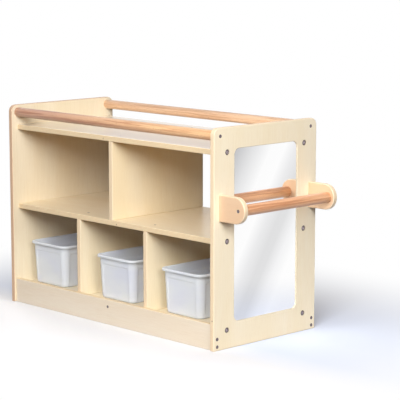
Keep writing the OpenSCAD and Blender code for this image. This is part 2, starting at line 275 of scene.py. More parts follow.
def blotches(tree, place, sizes, **settings):
    """Soft blotches with these sizes in millimetres along the three axes of a place; long thin ones draw
    the grain of wood."""
    sizes = [size * MM for size in sizes]
    counted = node(tree, "ShaderNodeVectorMath", {0: place, 1: sizes}, operation="DIVIDE")
    return node(tree, "ShaderNodeTexNoise", {"Vector": counted, "Scale": 1.0, **settings})


def pin_knot(tree, colour):
    """Lays a small dark pin knot where the piece's knot attribute is near zero."""
    at = node(tree, "ShaderNodeAttribute", attribute_name="knot").outputs["Vector"]
    ragged = blotches(tree, at, (1.1, 1.1, 1.1), Detail=2.0)
    far = node(tree, "ShaderNodeVectorMath", {0: at}, operation="LENGTH")
    edge = node(tree, "ShaderNodeMath", {0: ragged, 1: KNOT_RAGGED, 2: far}, operation="MULTIPLY_ADD")
    core = node(tree, "ShaderNodeMapRange", {"Value": edge, "From Min": KNOT_CORE, "From Max": KNOT_HALO,
                                             "To Min": 0.9, "To Max": 0.0})
    return node(tree, "ShaderNodeMix", {"Factor": core, "A": colour, "B": KNOT_BROWN}, data_type="RGBA")


def birch_face(name, pale, warm, fleck, coat, specular=0.5):
    """Rotary-cut birch veneer, sanded and lacquered: soft wide flames, hair-fine fibres and short brown
    pores that run with the grain, under a thin satin coat that goes glossy at a low angle. Faces that
    nobody touches get a single dull coat."""
    made, tree = material(name)
    grain = node(tree, "ShaderNodeAttribute", attribute_name="grain").outputs["Vector"]
    # Tone changes from one peeled stretch to the next
    stretch = blotches(tree, grain, (900, 125, 125), Detail=1.0)
    toned = node(tree, "ShaderNodeMapRange", {"Value": stretch, "From Min": 0.35, "From Max": 0.68,
                                              "To Max": 0.75})
    # Flames 20 to 90 mm wide are the contour lines of a slow noise, many times longer than wide
    hill = blotches(tree, grain, (590, 110, 110), Detail=3.0, Roughness=0.55, Distortion=0.6)
    contour = node(tree, "ShaderNodeMath", {0: hill, 1: 32.0}, operation="MULTIPLY")
    flame = node(tree, "ShaderNodeMath", {0: contour}, operation="SINE")
    flamed = node(tree, "ShaderNodeMapRange", {"Value": flame, "From Min": -0.4, "To Max": 0.22})
    # Fibres, and pores as short dashes, are twice as coarse as real ones so that they show
    fibre = blotches(tree, grain, (62, 1.6, 1.6), Detail=4.0, Roughness=0.7)
    fibred = node(tree, "ShaderNodeMapRange", {"Value": fibre, "From Min": 0.42, "From Max": 0.75,
                                               "To Max": 0.24})
    pore = blotches(tree, grain, (14, 1.3, 1.3), Detail=1.0)
    pored = node(tree, "ShaderNodeMapRange", {"Value": pore, "From Min": 0.70, "From Max": 0.78,
                                              "To Max": 0.34})
    colour = pale
    for share, tint in ((toned, warm), (flamed, warm), (fibred, fleck), (pored, fleck)):
        colour = node(tree, "ShaderNodeMix", {"Factor": share, "A": colour, "B": tint}, data_type="RGBA")
    rough = node(tree, "ShaderNodeMapRange", {"Value": fibre, "From Min": 0.3, "From Max": 0.7,
                                              "To Min": 0.30, "To Max": 0.40})
    bump = node(tree, "ShaderNodeBump", {"Height": fibre, "Strength": 0.10, "Distance": 0.1 * MM})
    shader = node(tree, "ShaderNodeBsdfPrincipled", {
        "Base Color": pin_knot(tree, colour), "Roughness": rough, "IOR": 1.48, "Normal": bump,
        "Specular IOR Level": specular, "Coat Weight": coat, "Coat Roughness": 0.2})
    node(tree, "ShaderNodeOutputMaterial", {"Surface": shader})
    return made


def birch_edge(name, pale, dark, glue):
    """The sanded edge of birch plywood: pale long-grain plies between darker end-grain plies, with thin
    glue lines, under the same lacquer, which end grain drinks so that it stays duller."""
    made, tree = material(name)
    grain = node(tree, "ShaderNodeAttribute", attribute_name="grain").outputs["Vector"]
    through = node(tree, "ShaderNodeSeparateXYZ", {0: grain}).outputs["Z"]
    wander = blotches(tree, grain, (33, 33, 17), Detail=2.0)
    # Nine plies, where a real board has eleven, so that they show
    wavy = node(tree, "ShaderNodeMath", {0: wander, 1: 0.5 * MM, 2: through}, operation="MULTIPLY_ADD")
    ply = node(tree, "ShaderNodeMath", {0: wavy, 1: math.pi * PLIES / PANEL_T}, operation="MULTIPLY")
    wave = node(tree, "ShaderNodeMath", {0: ply}, operation="SINE")
    end_grain = node(tree, "ShaderNodeMapRange", {"Value": wave, "From Min": -0.12, "From Max": 0.12,
                                                  "To Min": 0.8, "To Max": 0.0})
    tone = blotches(tree, grain, (110, 110, 1.4), Detail=3.0)
    toned = node(tree, "ShaderNodeMapRange", {"Value": tone, "From Min": 0.4, "From Max": 0.7,
                                              "To Max": 0.4})
    size = node(tree, "ShaderNodeMath", {0: wave}, operation="ABSOLUTE")
    glued = node(tree, "ShaderNodeMapRange", {"Value": size, "From Max": 0.3,
                                              "To Min": 0.45, "To Max": 0.0})
    speck = blotches(tree, grain, (2.4, 2.4, 2.4), Detail=2.0)
    specked = node(tree, "ShaderNodeMapRange", {"Value": speck, "From Min": 0.62, "From Max": 0.72,
                                                "To Max": 0.35})
    colour = pale
    for share, tint in ((end_grain, dark), (toned, dark), (glued, glue), (specked, glue)):
        colour = node(tree, "ShaderNodeMix", {"Factor": share, "A": colour, "B": tint}, data_type="RGBA")
    bump = node(tree, "ShaderNodeBump", {"Height": speck, "Strength": 0.15, "Distance": 0.15 * MM})
    shader = node(tree, "ShaderNodeBsdfPrincipled", {
        "Base Color": pin_knot(tree, colour), "Roughness": 0.45, "IOR": 1.48, "Normal": bump,
        "Coat Weight": 0.15, "Coat Roughness": 0.3})
    node(tree, "ShaderNodeOutputMaterial", {"Surface": shader})
    return made


def beech_rod(name, pale, mid, dark, pink_and_shade=0.0):
    """A turned beech rod, lacquered: pinkish brown streaks along it and the short dark flecks that beech
    shows, with a clear satin coat that lights a narrow line along the top. Its last argument is how far the
    wood turns pinker and darker towards its left end, partly its own pink tone and partly painted shade where
    the light falls off."""
    made, tree = material(name)
    grain = node(tree, "ShaderNodeAttribute", attribute_name="grain").outputs["Vector"]
    broad = blotches(tree, grain, (420, 20, 20), Detail=2.0)
    broadly = node(tree, "ShaderNodeMapRange", {"Value": broad, "From Min": 0.36, "From Max": 0.64})
    streak = blotches(tree, grain, (240, 7.2, 7.2), Detail=4.0, Roughness=0.6, Distortion=0.4)
    streaked = node(tree, "ShaderNodeMapRange", {"Value": streak, "From Min": 0.48, "From Max": 0.61,
                                                 "To Max": 0.9})
    # Fibres and flecks are two or three times as coarse as real ones so that they show
    fibre = blotches(tree, grain, (71, 1.25, 1.25), Detail=3.0)
    fibred = node(tree, "ShaderNodeMapRange", {"Value": fibre, "From Min": 0.45, "From Max": 0.75,
                                               "To Max": 0.3})
    fleck = blotches(tree, grain, (7.7, 1.1, 1.1), Detail=1.0)
    flecked = node(tree, "ShaderNodeMapRange", {"Value": fleck, "From Min": 0.66, "From Max": 0.74,
                                                "To Max": 0.45})
    place = node(tree, "ShaderNodeTexCoord").outputs["Object"]
    left = node(tree, "ShaderNodeSeparateXYZ", {0: place}).outputs["X"]
    # Partly painted shade: towards its left end the rod turns pinker and darker, partly its own tone and
    # partly shade where the light falls off
    pink_and_shade_share = node(tree, "ShaderNodeMapRange", {
        "Value": left, "From Min": PINK_AND_SHADE_FULL_X, "From Max": PINK_AND_SHADE_STARTS_X, "To Min": pink_and_shade, "To Max": 0.0})
    deep = node(tree, "ShaderNodeMix", {"Factor": pink_and_shade_share, "A": dark, "B": PINK_AND_SHADE_STREAK}, data_type="RGBA")
    colour = pale
    for share, tint in ((broadly, mid), (pink_and_shade_share, PINK_AND_SHADE_WOOD), (streaked, deep), (fibred, deep),
                        (flecked, BEECH_FLECK)):
        colour = node(tree, "ShaderNodeMix", {"Factor": share, "A": colour, "B": tint}, data_type="RGBA")
    rough = node(tree, "ShaderNodeMapRange", {"Value": streak, "From Min": 0.3, "From Max": 0.7,
                                              "To Min": 0.34, "To Max": 0.44})
    bump = node(tree, "ShaderNodeBump", {"Height": fibre, "Strength": 0.12, "Distance": 0.12 * MM})
    shader = node(tree, "ShaderNodeBsdfPrincipled", {
        "Base Color": colour, "Roughness": rough, "IOR": 1.5, "Normal": bump,
        "Coat Weight": 0.3, "Coat Roughness": 0.22})
    node(tree, "ShaderNodeOutputMaterial", {"Surface": shader})
    return made


def moulded_polypropylene(name, body, cool, dip):
    """Injection-moulded polypropylene: pale grey and a little waxy, with the fine spark-eroded texture of
    the mould, which breaks up highlights, and walls that let some light through."""
    made, tree = material(name)
    place = node(tree, "ShaderNodeTexCoord").outputs["Object"]
    cloud = blotches(tree, place, (110, 110, 70), Detail=2.0)
    clouded = node(tree, "ShaderNodeMapRange", {"Value": cloud, "From Min": 0.4, "From Max": 0.65})
    # The mould's texture is 0.3 mm grit, drawn at 1 mm
    grit = blotches(tree, place, (1, 1, 1), Detail=2.0)
    gritty = node(tree, "ShaderNodeMapRange", {"Value": grit, "From Min": 0.4, "From Max": 0.8,
                                               "To Max": 0.1})
    colour = body
    for share, tint in ((clouded, cool), (gritty, dip)):
        colour = node(tree, "ShaderNodeMix", {"Factor": share, "A": colour, "B": tint}, data_type="RGBA")
    rough = node(tree, "ShaderNodeMapRange", {"Value": grit, "From Min": 0.3, "From Max": 0.7,
                                              "To Min": 0.36, "To Max": 0.5})
    bump = node(tree, "ShaderNodeBump", {"Height": grit, "Strength": 0.08, "Distance": 0.1 * MM})
    wall = node(tree, "ShaderNodeBsdfPrincipled", {
        "Base Color": colour, "Roughness": rough, "IOR": 1.49, "Normal": bump})
    glow = node(tree, "ShaderNodeBsdfTranslucent", {"Color": colour})
    both = node(tree, "ShaderNodeMixShader", {0: WALL_GLOW, 1: wall, 2: glow})
    node(tree, "ShaderNodeOutputMaterial", {"Surface": both})
    return made


def plated_steel(name, bright, dull, roughness, rim_shade_r):
    """Zinc-plated steel with a dark or clear passivation: blotchy, soft highlights and no brushing. Beyond a
    radius of a fastener's own axis the head is painted darker towards its rim, a painted shade as in its
    counterbore, so that its middle reads brighter."""
    made, tree = material(name)
    place = node(tree, "ShaderNodeTexCoord").outputs["Object"]
    blotch = blotches(tree, place, (2.4, 2.4, 2.4), Detail=3.0)
    blotch_and_rim_shade = node(tree, "ShaderNodeMapRange", {"Value": blotch, "From Min": 0.4, "From Max": 0.65})
    own = node(tree, "ShaderNodeAttribute", attribute_name="own_place").outputs["Vector"]
    across = node(tree, "ShaderNodeVectorMath", {0: own, 1: (1, 1, 0)}, operation="MULTIPLY")
    out = node(tree, "ShaderNodeVectorMath", {0: across}, operation="LENGTH")
    # Painted shade: beyond a radius from the axis the head turns dull towards its rim, as shade in its
    # counterbore
    rim = node(tree, "ShaderNodeMapRange", {"Value": out, "From Min": rim_shade_r, "From Max": 1.4 * rim_shade_r})
    blotch_and_rim_shade = node(tree, "ShaderNodeMath", {0: blotch_and_rim_shade, 1: rim}, operation="MAXIMUM")
    colour = node(tree, "ShaderNodeMix", {"Factor": blotch_and_rim_shade, "A": bright, "B": dull}, data_type="RGBA")
    fine = blotches(tree, place, (0.45, 0.45, 0.45), Detail=2.0)
    rough = node(tree, "ShaderNodeMapRange", {"Value": fine, "From Min": 0.3, "From Max": 0.7,
                                              "To Min": roughness, "To Max": roughness + 0.15})
    shader = node(tree, "ShaderNodeBsdfPrincipled", {
        "Base Color": colour, "Metallic": 1.0, "Roughness": rough})
    node(tree, "ShaderNodeOutputMaterial", {"Surface": shader})
    return made


def silvered_acrylic(name):
    """Acrylic mirror sheet, silvered behind: a clean reflection with the slow waviness of thin sheet, the
    faintest haze where it has been wiped, and two soft grey sweeps slanting across it, a painted reflection
    in its base colour."""
    made, tree = material(name)
    place = node(tree, "ShaderNodeTexCoord").outputs["Object"]
    # The grey sweeps are a painted reflection: a ramp of greys in the sheet's base colour across a slanting
    # line
    way = (0, math.cos(PAINTED_REFLECTION_TILT), -math.sin(PAINTED_REFLECTION_TILT))
    across = node(tree, "ShaderNodeVectorMath", {0: place, 1: way}, operation="DOT_PRODUCT")
    along = node(tree, "ShaderNodeMapRange", {"Value": across, "From Min": -PAINTED_REFLECTION_SPAN, "From Max": 0.0})
    tint = node(tree, "ShaderNodeValToRGB", {0: along}, stops=(
        (0.0, "#b9b9bb"), (0.18, "#e2e2e3"), (0.34, "#fcfcfc"), (0.46, "#fdfdfd"), (0.56, "#ececed"),
        (0.66, "#e0e0e1"), (0.72, "#e1e1e2"), (0.82, "#f4f4f5"), (0.92, "#fefefe")))
    haze = blotches(tree, place, (71, 33, 110), Detail=3.0)
    rough = node(tree, "ShaderNodeMapRange", {"Value": haze, "From Min": 0.35, "From Max": 0.7,
                                              "To Min": 0.02, "To Max": 0.05})
    wave = blotches(tree, place, (170, 170, 200), Detail=1.0)
    bump = node(tree, "ShaderNodeBump", {"Height": wave, "Strength": 0.05, "Distance": 1 * MM})
    shader = node(tree, "ShaderNodeBsdfPrincipled", {
        "Base Color": tint, "Metallic": 1.0, "Roughness": rough, "Normal": bump})
    node(tree, "ShaderNodeOutputMaterial", {"Surface": shader})
    return made


PANEL_FACE = birch_face("birch_face_of_panels", "#fbf1da", "#f6e8c8", "#dcc298", 0.05, 0.25)
# The panels' inner faces: a darker, warmer copy of the panel veneer, painted shade of the cubbies
INNER_FACE = birch_face("birch_face_inside", "#f1e6ce", "#eadaba", "#d4b98c", 0.0, 0.12)
TOP_FACE = birch_face("birch_face_of_top_board", "#f6eddb", "#efe3cb", "#cfae80", 1.0)
BOARD_FACE = birch_face("birch_face_of_shelves", "#f6eacf", "#eddbb6", "#cfae80", 0.15, 0.35)
# The dividers: a warmer copy of the veneer, painted shade of the cubbies
DIVIDER_FACE = birch_face("birch_face_of_dividers", "#f4e7ca", "#eeddb8", "#d6b88c", 0.0, 0.12)
# The boards' undersides: the back veneer painted darker and browner, as the shade that falls under them
UNDER_FACE = birch_face("birch_underside_painted_shade", "#e2b980", "#d4a466", "#b98f5c", 0.0, 0.15)
KICK_FACE = birch_face("birch_face_of_kick_boards", "#f6eddd", "#efdfc7", "#cfb393", 0.05, 0.3)
BRACKET_FACE = birch_face("birch_face_of_brackets", "#e9c9a8", "#e4be98", "#cfa078", 0.05, 0.3)
PALE_EDGE = birch_edge("plywood_edge_pale", "#f6e3c5", "#e8cfaa", "#d4b38c")
# Edges in the holes and on the window's jamb: greyer and darker than the other ply edges, painted shade
BORE_EDGE = birch_edge("plywood_edge_of_holes", "#dbcfb6", "#cbbea2", "#b5a588")
WARM_EDGE = birch_edge("plywood_edge_warm", "#f5e3c1", "#e4c89c", "#c4a070")
BROWN_EDGE = birch_edge("plywood_edge_brown", "#e3c3a4", "#cca686", "#ac8662")
FRONT_RAIL_WOOD = beech_rod("beech_front_rail", "#f6ca97", "#e9b07f", "#cc9268", 0.8)
REAR_RAIL_WOOD = beech_rod("beech_rear_rail", "#f0cca8", "#e5b994", "#cb9f7b")
BAR_WOOD = beech_rod("beech_bar", "#f0bb8e", "#dea276", "#c28358")
BIN_PLASTIC = moulded_polypropylene("polypropylene_pale_grey", "#f5faff", "#f0f5ff", "#c3c9d7")
BOLT_ZINC = plated_steel("dark_zinc_of_bolts", "#c9bcc0", "#6f6466", 0.3, 3.2 * MM)
SCREW_ZINC = plated_steel("dark_zinc_of_screws", "#9c9094", "#6f6469", 0.3, 1.6 * MM)
CLEAR_ZINC = plated_steel("clear_zinc", "#b9bbbd", "#9c9fa2", 0.28, 5 * MM)
MIRROR = silvered_acrylic("silvered_acrylic")


def rounded_loop(low, high, radii, grow, steps):
    """Points round a rectangle with a radius at each corner, counted from the lower left, moved outwards."""
    points = []
    corners = ((0, 0, radii[0], 180), (1, 0, radii[1], 270), (1, 1, radii[2], 0), (0, 1, radii[3], 90))
    for right, up, radius, start in corners:
        r = max(radius + grow, SQUARE)
        u = high[0] + grow - r if right else low[0] - grow + r
        v = high[1] + grow - r if up else low[1] - grow + r
        for step in range(steps + 1):
            angle = math.radians(start + 90 * step / steps)
            points.append((u + r * math.cos(angle), v + r * math.sin(angle)))
    return points


def disc(u, v, r):
    """The rectangle and corners of a round hole, for a hole's loop."""
    return (u - r, v - r), (u + r, v + r), (r,) * 4


def eased(radius, outward, start, towards):
    """Rings of a rounded edge: how far each has grown, and its depth from the face."""
    rings = []
    for step in range(EASE_STEPS + 1):
        angle = math.pi / 2 * step / EASE_STEPS
        grown = outward * radius * (1 - math.sin(angle))
        rings.append((grown, start + towards * radius * (1 - math.cos(angle))))
    return rings


def skin(bm, rows, materials):
    """Joins each row of points to the next by a band of faces in that band's material."""
    count = len(rows[0])
    for low, high, index in zip(rows, rows[1:], materials):
        for k in range(count):
            face = bm.faces.new((low[k], low[(k + 1) % count], high[(k + 1) % count], high[k]))
            face.material_index = index


def closed_skin(bm, rows):
    """Joins rows of points in one material and caps both ends."""
    skin(bm, rows, [0] * len(rows))
    bm.faces.new(rows[0])
    bm.faces.new(rows[-1])


def wall(bm, place, loops, materials):
    """Skins a stack of loops, each a list of points and a depth, with a material for each band."""
    skin(bm, [[bm.verts.new(place(u, v, w)) for u, v in points] for points, w in loops], materials)


def flat_face(bm, place, loops, w, material_index):
    """Fills the plane at a depth between the first loop and the others, which are holes."""
    points, edges, areas = [], [], []
    for loop in loops:
        numbers = list(range(len(points), len(points) + len(loop)))
        points += [Vector(p) for p in loop]
        edges += list(zip(numbers, numbers[1:] + numbers[:1]))
        areas.append(numbers)
    verts, _, triangles, _, _, sources = delaunay_2d_cdt(points, edges, areas, 1, 1e-7, True)
    made = [bm.verts.new(place(p.x, p.y, w)) for p in verts]
    for corners, source in zip(triangles, sources):
        # What lies in two loops at once is a hole
        if len(source) == 1:
            face = bm.faces.new([made[c] for c in corners])
            face.material_index = material_index


def write_vectors(mesh, name, values):
    """Stores one vector for each vertex under a name that the materials read."""
    attribute = mesh.attributes.new(name, "FLOAT_VECTOR", "POINT")
    attribute.data.foreach_set("vector", [c for value in values for c in value])


def finish_mesh(bm, name, materials, sharp=35):
    """Turns the mesh under construction into an object with smooth rounds and crisp flats."""
    bmesh.ops.remove_doubles(bm, verts=bm.verts, dist=1e-7)
    bmesh.ops.dissolve_degenerate(bm, edges=bm.edges, dist=1e-7)
    bmesh.ops.recalc_face_normals(bm, faces=bm.faces)
    mesh = bpy.data.meshes.new(name)
    bm.to_mesh(mesh)
    bm.free()
    for m in materials:
        mesh.materials.append(m)
    mesh.polygons.foreach_set("use_smooth", [True] * len(mesh.polygons))
    mesh.set_sharp_from_angle(angle=math.radians(sharp))
    made = bpy.data.objects.new(name, mesh)
    bpy.context.scene.collection.objects.link(made)
    return made


def keep(piece, body, slot, *nodes):
    """Gives a finished piece its body and hides the nodes that it stands for; slot is not used."""
    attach(piece, body)
    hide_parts(*nodes)


def plate(name, node_name, facing, slot, face, edge, back=None, corners=(FOOT_CORNER,) * 4, ease=BOARD_EASE,
          holes=(), along="u", knot=None):
    """A plywood board made from its node's box. facing is the axis and side that its front face looks to,
    along is the way its grain runs, and knot is the centre of a pin knot. A hole is a rectangle with
    corner radii, its rings, and whether it opens at the front and the back."""
    FACE, EDGE, BACK, BORE = range(4)
    low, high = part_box(node_name)
    w_axis = "xyz".index(facing[1])
    u_axis, v_axis = [(1, 2), (0, 2), (0, 1)][w_axis]
    front, side = (high[w_axis], -1) if facing[0] == "+" else (low[w_axis], 1)
    thick = high[w_axis] - low[w_axis]

    def place(u, v, w):
        point = Vector((0, 0, 0))
        point[u_axis], point[v_axis], point[w_axis] = u, v, front + side * w
        return point

    bm = bmesh.new()
    outline = (low[u_axis], low[v_axis]), (high[u_axis], high[v_axis]), corners
    rings = eased(ease, -1, 0, 1) + eased(ease, -1, thick, -1)[::-1]
    loops = [(rounded_loop(*outline, grow, CORNER_STEPS), w) for grow, w in rings]
    # The sanded round shows the face veneer before it reaches the plies
    veneered = EASE_STEPS // 3
    plies = len(loops) - 1 - 2 * veneered
    wall(bm, place, loops, [FACE] * veneered + [EDGE] * plies + [BACK] * veneered)
    fronts, backs = [loops[0][0]], [loops[-1][0]]
    for shape, hole_rings, at_front, at_back in holes:
        steps = CORNER_STEPS if shape[2][0] > SMALL_HOLE_R else HOLE_STEPS
        loops = [(rounded_loop(*shape, grow, steps), w) for grow, w in hole_rings]
        wall(bm, place, loops, [BORE] * len(loops))
        for opens, (points, w), found in ((at_front, loops[0], fronts), (at_back, loops[-1], backs)):
            if opens:
                found.append(points)
            else:
                flat_face(bm, place, [points], w, BORE)
    flat_face(bm, place, fronts, 0, FACE)
    flat_face(bm, place, backs, thick, BACK)
    made = finish_mesh(bm, name, [face, edge, back or face, BORE_EDGE])
    a, c = (u_axis, v_axis) if along == "u" else (v_axis, u_axis)
    # Each board is cut from another stretch of veneer
    shift = VENEER_STEP * len(bpy.data.meshes)
    verts = [v.co for v in made.data.vertices]
    grain = [(p[a] + shift, p[c] + shift, side * (p[w_axis] - front)) for p in verts]
    write_vectors(made.data, "grain", grain)
    centre = Vector(knot or NO_KNOT)
    write_vectors(made.data, "knot", [p - centre for p in verts])
    weighted = made.modifiers.new("flat_faces_stay_flat", "WEIGHTED_NORMAL")
    weighted.keep_sharp = True
    keep(made, "shelf", slot, node_name)


def bolt_hole(u, v, thick):
    """A counterbore with a shank bore behind it, through the board."""
    r = BOLT_HEAD_R + FIT
    lip = BOLT_HOLE_LIP
    bore = BOLT_R + FIT - r
    rings = [(lip, 0), (0.25 * lip, 0.3 * lip), (0, lip), (0, BOLT_SINK), (bore, BOLT_SINK), (bore, thick)]
    return disc(u, v, r), rings, True, True


def screw_hole(u, v, thick, head_r, shank_r, from_back=False):
    """A countersunk hole through the board, from its front or its back face."""
    bore = shank_r + FIT - head_r
    rings = [(HOLE_LIP, 0), (0, HOLE_LIP), (bore, head_r - shank_r + HOLE_LIP), (bore, thick)]
    if from_back:
        rings = [(grow, thick - w) for grow, w in rings[::-1]]
    return disc(u, v, head_r), rings, True, True


def nut_hole(u, v, thick):
    """The blind bore of a barrel nut, open at the board's underside."""
    roof = (thick - NUT_H) / 2
    return disc(u, v, NUT_R + FIT), [(0, roof), (0, thick - HOLE_LIP), (HOLE_LIP, thick)], False, True


def side_panels():
    """Two panels with rounded top corners; the right one has the window, with its rebate behind it."""
    top_round = (FOOT_CORNER, FOOT_CORNER, PANEL_CORNER, PANEL_CORNER)
    holes = [bolt_hole(y, z, PANEL_T) for y, z in BOLT_SPOTS]
    holes += [screw_hole(y, RAIL_Z, PANEL_T, LONG_HEAD_R, LONG_R) for y in RAIL_YS]
    holes += [screw_hole(y, z, PANEL_T, LONG_HEAD_R, LONG_R) for y, z in KICK_SPOTS]
    plate("left_side_panel", "left_panel", "-x", "birch_panel", PANEL_FACE, BROWN_EDGE, INNER_FACE, top_round,
          PANEL_EASE, holes, along="v")
    low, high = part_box("mirror")
    cut = REBATE - MIRROR_GAP
    recess = RIGHT_X - high.x
    window = (low.y + cut, low.z + cut), (high.y - cut, high.z - cut), (WINDOW_CORNER,) * 4
    jamb = eased(WINDOW_EASE, 1, 0, 1) + [(0, recess), (REBATE, recess), (REBATE, PANEL_T)]
    holes += [screw_hole(y, z, PANEL_T, WOOD_HEAD_R, WOOD_R, True) for y, z in BRACKET_SPOTS]
    holes.append((window, jamb, True, True))
    knot = RIGHT_X - PANEL_KNOT_IN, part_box("right_panel")[0].y, PANEL_KNOT_Z
    plate("right_side_panel", "right_panel", "+x", "birch_panel", PANEL_FACE, PALE_EDGE, INNER_FACE,
          top_round, PANEL_EASE, holes, along="v", knot=knot)


def boards():
    """Top board, shelves, dividers and kick boards."""
    nuts = [nut_hole(x, y, BOARD_T) for x in NUT_XS for y in BOLT_YS]
    top_down = [screw_hole(UPPER_X, y, BOARD_T, WOOD_HEAD_R, WOOD_R) for y in DIVIDER_YS]
    plate("top_board_of_birch", "top_board", "+z", "birch_board", TOP_FACE, WARM_EDGE, UNDER_FACE,
          holes=nuts + top_down, knot=(TOP_KNOT_X, FRONT_Y, BOLT_ZS[2] - TOP_KNOT_DOWN))
    low_ones = [screw_hole(x, y, BOARD_T, WOOD_HEAD_R, WOOD_R) for x, y in LOWER_SPOTS]
    from_below = [screw_hole(UPPER_X, y, BOARD_T, WOOD_HEAD_R, WOOD_R, True) for y in DIVIDER_YS]
    plate("middle_shelf_of_birch", "middle_shelf", "+z", "birch_board", BOARD_FACE, WARM_EDGE, UNDER_FACE,
          holes=nuts + low_ones + from_below, knot=(SHELF_KNOT_X, FRONT_Y, BOLT_ZS[1] - SHELF_KNOT_DOWN))
    from_below = [screw_hole(x, y, BOARD_T, WOOD_HEAD_R, WOOD_R, True) for x, y in LOWER_SPOTS]
    plate("bottom_shelf_of_birch", "bottom_shelf", "+z", "birch_board", BOARD_FACE, WARM_EDGE, UNDER_FACE,
          holes=nuts + from_below)
    for name in ("upper_divider", "lower_divider_left", "lower_divider_right"):
        plate(name + "_of_birch", name, "+x", "birch_board", DIVIDER_FACE, PALE_EDGE, along="v")
    for name, facing in (("kick_board_front", "-y"), ("kick_board_rear", "+y")):
        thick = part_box(name)[1].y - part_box(name)[0].y
        hole = screw_hole(KICK_SCREW_X, KICK_SCREW_Z, thick, WOOD_HEAD_R, WOOD_R)
        plate(name + "_of_birch", name, facing, "birch_kick", KICK_FACE, WARM_EDGE, holes=[hole])
    plate("mirror_backing_board", "mirror_backing", "-x", "birch_backing", BOARD_FACE, WARM_EDGE, None,
          (WINDOW_CORNER + REBATE - MIRROR_GAP,) * 4, BACKING_EASE, along="v")


def brackets():
    """Two plates with a half-round end that hold the bar."""
    for name, facing in (("bar_bracket_front", "-y"), ("bar_bracket_rear", "+y")):
        low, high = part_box(name)
        end = (high.z - low.z) / 2 - SQUARE
        hole = screw_hole(BAR_X, BAR_Z, high.y - low.y, LONG_HEAD_R, LONG_R)
        plate(name + "_of_birch", name, facing, "birch_bracket", BRACKET_FACE, PALE_EDGE, None,
              (SQUARE, end, end, SQUARE), BRACKET_EASE, [hole])


def turned(bm, rings, sides, place):
    """Skins rings round an axis and caps both ends. A ring is its radius, its place along the axis, and
    True where it is a hexagon whose flats lie at that radius."""
    rows = []
    for radius, along, hexagon in rings:
        row = []
        for k in range(sides):
            angle = 2 * math.pi * k / sides
            to_flat = (angle + math.pi / 6) % (math.pi / 3) - math.pi / 6
            r = radius / math.cos(to_flat) if hexagon else radius
            row.append(bm.verts.new(place(r * math.cos(angle), r * math.sin(angle), along)))
        rows.append(row)
    closed_skin(bm, rows)


def rods():
    """The two rails and the pull-up bar, round rods with eased ends."""
    for name, axis, wood in (("top_rail_front", 0, FRONT_RAIL_WOOD), ("top_rail_rear", 0, REAR_RAIL_WOOD),
                             ("pull_up_bar", 1, BAR_WOOD)):
        low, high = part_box(name)
        a, b = [(1, 2), (0, 2)][axis]
        r = (high[b] - low[b]) / 2

        def place(u, v, w):
            point = Vector((0, 0, 0))
            point[a], point[b], point[axis] = (low[a] + high[a]) / 2 + u, (low[b] + high[b]) / 2 + v, w
            return point

        ease = ROD_EASE
        rings = [(r - ease, low[axis], False), (r - 0.25 * ease, low[axis] + 0.3 * ease, False)]
        for k in range(ROD_STATIONS + 1):
            share = k / ROD_STATIONS
            rings.append((r, low[axis] + ease + (high[axis] - low[axis] - 2 * ease) * share, False))
        rings += [(r - 0.25 * ease, high[axis] - 0.3 * ease, False), (r - ease, high[axis], False)]
        bm = bmesh.new()
        turned(bm, rings, ROD_SIDES, place)
        made = finish_mesh(bm, name + "_of_beech", [wood])
        shift = ROD_STEP * len(bpy.data.meshes)
        verts = [v.co for v in made.data.vertices]
        write_vectors(made.data, "grain", [(p[axis] + shift, p[a] + shift, p[b]) for p in verts])
        keep(made, "shelf", "beech_rail", name)


def hex_socket(to_flat, top, mouth):
    """Rings of a hexagon socket from its floor up to the face that it opens in. to_flat is the distance
    from the axis to a flat."""
    bottom = top + SOCKET_DEPTH
    return [(0.3 * to_flat, bottom + 0.4 * MM, True), (to_flat, bottom, True),
            (to_flat, top + mouth, True), (1.22 * to_flat, top, False)]


def bolt_rings():
    """A cylinder-head bolt: its head lies 1 mm under the face."""
    top = BOLT_SINK - BOLT_HEAD_H
    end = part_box("shelf_bolts_left")[1].x - LEFT_X
    crown = 1.5 * MM
    tip = 0.8 * MM
    return hex_socket(BOLT_SOCKET / 2, top, mouth=0.35 * MM) + [
        (BOLT_HEAD_R - crown, top, False), (BOLT_HEAD_R - 0.6 * crown, top + 0.2 * crown, False),
        (BOLT_HEAD_R, top + crown, False), (BOLT_HEAD_R, BOLT_SINK, False), (BOLT_R, BOLT_SINK, False),
        (BOLT_R, end - tip, False), (BOLT_R - tip, end, False)]


def screw_rings(head_r, shank_r, length, socket):
    """A countersunk screw with a flat head, flush with the face."""
    top = 0.1 * MM
    return hex_socket(socket / 2, top, mouth=0.3 * MM) + [
        (head_r - 0.45 * MM, top, False), (head_r - 0.12 * MM, top + 0.12 * MM, False),
        (head_r - 0.05 * MM, top + 0.35 * MM, False), (shank_r, head_r - shank_r + HOLE_LIP, False),
        (shank_r, length - shank_r, False), (0.5 * MM, length, False)]


def nut_rings():
    """A barrel nut, with a chamfer at both ends and a shallow recess to turn it by."""
    edge = 0.5 * MM
    return [(NUT_R - edge, 0, False), (NUT_R, edge, False), (NUT_R, NUT_H - edge, False),
            (NUT_R - edge, NUT_H, False), (1.6 * MM, NUT_H, False), (1.4 * MM, NUT_H - 1.2 * MM, False)]


